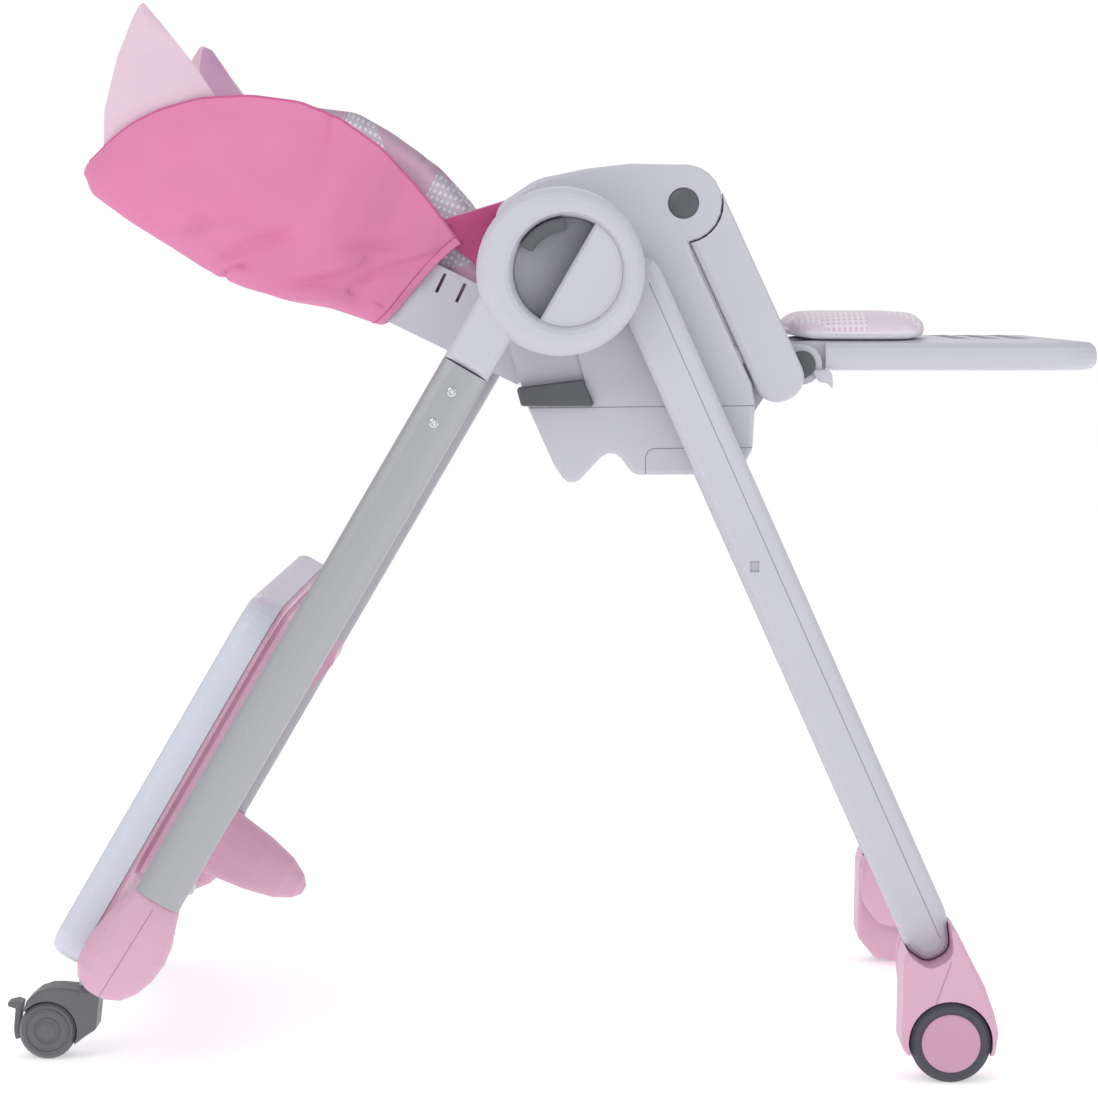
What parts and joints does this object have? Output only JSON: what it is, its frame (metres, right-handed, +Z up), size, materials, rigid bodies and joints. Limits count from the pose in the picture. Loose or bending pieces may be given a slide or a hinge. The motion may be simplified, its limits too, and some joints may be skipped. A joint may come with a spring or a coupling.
{
  "type": "baby high chair",
  "caption": "Folding baby high chair with a reclining padded seat sliding on its front legs, a legrest, folding armrests, swivel castors and a tray stowed on the rear legs.",
  "frame": {"origin": "centre of the bounding box on the floor", "axes": "+X the way the child faces, +Y the child's left, +Z up"},
  "size_m": [0.99, 0.55, 0.9488],
  "materials": {
    "grey_plastic": "fine matt",
    "pale_plastic": "satin",
    "pink_plastic": "satin",
    "tube_lacquer": "satin",
    "charcoal_plastic": "matt",
    "castor_plastic": "matt",
    "tyre_rubber": "matt",
    "bolt_steel": "bright",
    "pink_fabric": "woven",
    "pale_pink_fabric": "woven",
    "pad_fabric": "coated print",
    "strap_webbing": "webbing"
  },
  "bodies": {
    "front_frame": {"front_leg_r": "grey_plastic", "front_leg_l": "grey_plastic", "hub_bolt_r": "bolt_steel", "hub_bolt_l": "bolt_steel", "front_foot_r": "pink_plastic", "front_foot_l": "pink_plastic", "front_crossbar": "tube_lacquer"},
    "rear_frame": {"hub_ring_r": "grey_plastic", "hub_ring_l": "grey_plastic", "rear_leg_tube_r": "tube_lacquer", "rear_leg_tube_l": "tube_lacquer", "rear_foot_r": "pink_plastic", "rear_foot_l": "pink_plastic", "castor_bracket_r": "pale_plastic", "castor_bracket_l": "pale_plastic", "rear_crossbar": "tube_lacquer"},
    "seat": {"seat_side_r": "grey_plastic", "seat_side_l": "grey_plastic", "seat_base": "grey_plastic", "seat_pad": "pad_fabric", "harness_buckle": "charcoal_plastic", "crotch_strap": "strap_webbing"},
    "backrest": {"backrest_shell": "grey_plastic", "backrest_pad": "pad_fabric", "backrest_cover": "pink_fabric", "ear_r": "pale_pink_fabric", "ear_l": "pale_pink_fabric", "shoulder_strap_r": "strap_webbing", "shoulder_strap_l": "strap_webbing"},
    "recline_handle_grip": {"recline_handle": "charcoal_plastic"},
    "legrest": {"legrest_shell": "grey_plastic", "legrest_pad": "pad_fabric"},
    "tray": {"tray_base": "pink_plastic", "tray_divider": "pink_plastic"},
    "tray_cover": {"tray_top": "pale_plastic"},
    "tray_latch": {"tray_lever": "pink_plastic"},
    "front_wheel_r": {"front_tyre_r": "tyre_rubber", "front_wheel_core_r": "pink_plastic"},
    "fold_button_r_key": {"fold_button_r": "charcoal_plastic"},
    "castor_r": {"castor_housing_r": "castor_plastic"},
    "castor_roller_out_r": {"castor_wheel_out_r": "castor_plastic"},
    "castor_roller_in_r": {"castor_wheel_in_r": "castor_plastic"},
    "brake_r": {"brake_lever_r": "castor_plastic"},
    "height_release_r": {"height_lever_r": "charcoal_plastic"},
    "arm_r": {"armrest_r": "grey_plastic"},
    "arm_key_r": {"armrest_button_r": "charcoal_plastic"},
    "legrest_key_r": {"legrest_button_r": "charcoal_plastic"},
    "front_wheel_l": {"front_tyre_l": "tyre_rubber", "front_wheel_core_l": "pink_plastic"},
    "fold_button_l_key": {"fold_button_l": "charcoal_plastic"},
    "castor_l": {"castor_housing_l": "castor_plastic"},
    "castor_roller_out_l": {"castor_wheel_out_l": "castor_plastic"},
    "castor_roller_in_l": {"castor_wheel_in_l": "castor_plastic"},
    "brake_l": {"brake_lever_l": "castor_plastic"},
    "height_release_l": {"height_lever_l": "charcoal_plastic"},
    "arm_l": {"armrest_l": "grey_plastic"},
    "arm_key_l": {"armrest_button_l": "charcoal_plastic"},
    "legrest_key_l": {"legrest_button_l": "charcoal_plastic"}
  },
  "joints": [
    {"name": "fold", "type": "hinge", "parent": "front_frame", "child": "rear_frame", "pos_m": [0.01, 0, 0.711], "axis": [0, 1, 0], "range_deg": [-50, 0]},
    {"name": "seat_height", "type": "slide", "parent": "front_frame", "child": "seat", "axis": [0.4091, 0, -0.9125], "range_m": [0, 0.18]},
    {"name": "recline", "type": "hinge", "parent": "seat", "child": "backrest", "pos_m": [0, 0, 0.645], "axis": [0, 1, 0], "range_deg": [0, 45]},
    {"name": "recline_release", "type": "slide", "parent": "backrest", "child": "recline_handle_grip", "axis": [-0.8988, 0, 0.4384], "range_m": [0, 0.006], "stiffness_N_per_m": 500},
    {"name": "legrest_tilt", "type": "hinge", "parent": "seat", "child": "legrest", "pos_m": [0.2251, 0, 0.6285], "axis": [0, 1, 0], "range_deg": [0, 75]},
    {"name": "front_wheel_spin_r", "type": "hinge", "parent": "front_frame", "child": "front_wheel_r", "pos_m": [0.3532, -0.245, 0.0355], "axis": [0, 1, 0], "continuous": true},
    {"name": "fold_release_r", "type": "slide", "parent": "rear_frame", "child": "fold_button_r_key", "axis": [0, 1, 0], "range_m": [0, 0.003], "stiffness_N_per_m": 500},
    {"name": "castor_swivel_r", "type": "hinge", "parent": "rear_frame", "child": "castor_r", "pos_m": [-0.4229, -0.175, 0.06], "axis": [0, 0, 1], "continuous": true},
    {"name": "castor_spin_out_r", "type": "hinge", "parent": "castor_r", "child": "castor_roller_out_r", "pos_m": [-0.456, -0.175, 0.026], "axis": [0, 1, 0], "continuous": true},
    {"name": "castor_spin_in_r", "type": "hinge", "parent": "castor_r", "child": "castor_roller_in_r", "pos_m": [-0.456, -0.175, 0.026], "axis": [0, 1, 0], "continuous": true},
    {"name": "brake_press_r", "type": "hinge", "parent": "castor_r", "child": "brake_r", "pos_m": [-0.456, -0.175, 0.026], "axis": [0, 1, 0], "range_deg": [-12, 0]},
    {"name": "height_release_turn_r", "type": "hinge", "parent": "seat", "child": "height_release_r", "pos_m": [0.036, -0.2, 0.6], "axis": [0, 1, 0], "range_deg": [0, 10], "stiffness_Nm_per_rad": 0.6},
    {"name": "arm_fold_r", "type": "hinge", "parent": "seat", "child": "arm_r", "pos_m": [0.1175, -0.18, 0.7713], "axis": [0, 1, 0], "range_deg": [-65, 0]},
    {"name": "arm_release_r", "type": "slide", "parent": "seat", "child": "arm_key_r", "axis": [0, 1, 0], "range_m": [0, 0.003], "stiffness_N_per_m": 500},
    {"name": "legrest_release_r", "type": "slide", "parent": "seat", "child": "legrest_key_r", "axis": [0, 1, 0], "range_m": [0, 0.003], "stiffness_N_per_m": 500},
    {"name": "front_wheel_spin_l", "type": "hinge", "parent": "front_frame", "child": "front_wheel_l", "pos_m": [0.3532, 0.245, 0.0355], "axis": [0, 1, 0], "continuous": true},
    {"name": "fold_release_l", "type": "slide", "parent": "rear_frame", "child": "fold_button_l_key", "axis": [0, -1, 0], "range_m": [0, 0.003], "stiffness_N_per_m": 500},
    {"name": "castor_swivel_l", "type": "hinge", "parent": "rear_frame", "child": "castor_l", "pos_m": [-0.4229, 0.175, 0.06], "axis": [0, 0, 1], "continuous": true},
    {"name": "castor_spin_out_l", "type": "hinge", "parent": "castor_l", "child": "castor_roller_out_l", "pos_m": [-0.456, 0.175, 0.026], "axis": [0, 1, 0], "continuous": true},
    {"name": "castor_spin_in_l", "type": "hinge", "parent": "castor_l", "child": "castor_roller_in_l", "pos_m": [-0.456, 0.175, 0.026], "axis": [0, 1, 0], "continuous": true},
    {"name": "brake_press_l", "type": "hinge", "parent": "castor_l", "child": "brake_l", "pos_m": [-0.456, 0.175, 0.026], "axis": [0, 1, 0], "range_deg": [-12, 0]},
    {"name": "height_release_turn_l", "type": "hinge", "parent": "seat", "child": "height_release_l", "pos_m": [0.036, 0.2, 0.6], "axis": [0, 1, 0], "range_deg": [0, 10], "stiffness_Nm_per_rad": 0.6},
    {"name": "arm_fold_l", "type": "hinge", "parent": "seat", "child": "arm_l", "pos_m": [0.1175, 0.18, 0.7713], "axis": [0, 1, 0], "range_deg": [-65, 0]},
    {"name": "arm_release_l", "type": "slide", "parent": "seat", "child": "arm_key_l", "axis": [0, -1, 0], "range_m": [0, 0.003], "stiffness_N_per_m": 500},
    {"name": "legrest_release_l", "type": "slide", "parent": "seat", "child": "legrest_key_l", "axis": [0, -1, 0], "range_m": [0, 0.003], "stiffness_N_per_m": 500},
    {"name": "tray_lift", "type": "slide", "parent": "rear_frame", "child": "tray", "axis": [-0.8634, 0, 0.5045], "range_m": [0, 0.12]},
    {"name": "tray_cover_lift", "type": "slide", "parent": "tray", "child": "tray_cover", "axis": [-0.8634, 0, 0.5045], "range_m": [0, 0.06]},
    {"name": "tray_latch_pull", "type": "slide", "parent": "tray", "child": "tray_latch", "axis": [-0.5045, 0, -0.8634], "range_m": [0, 0.005]}
  ]
}
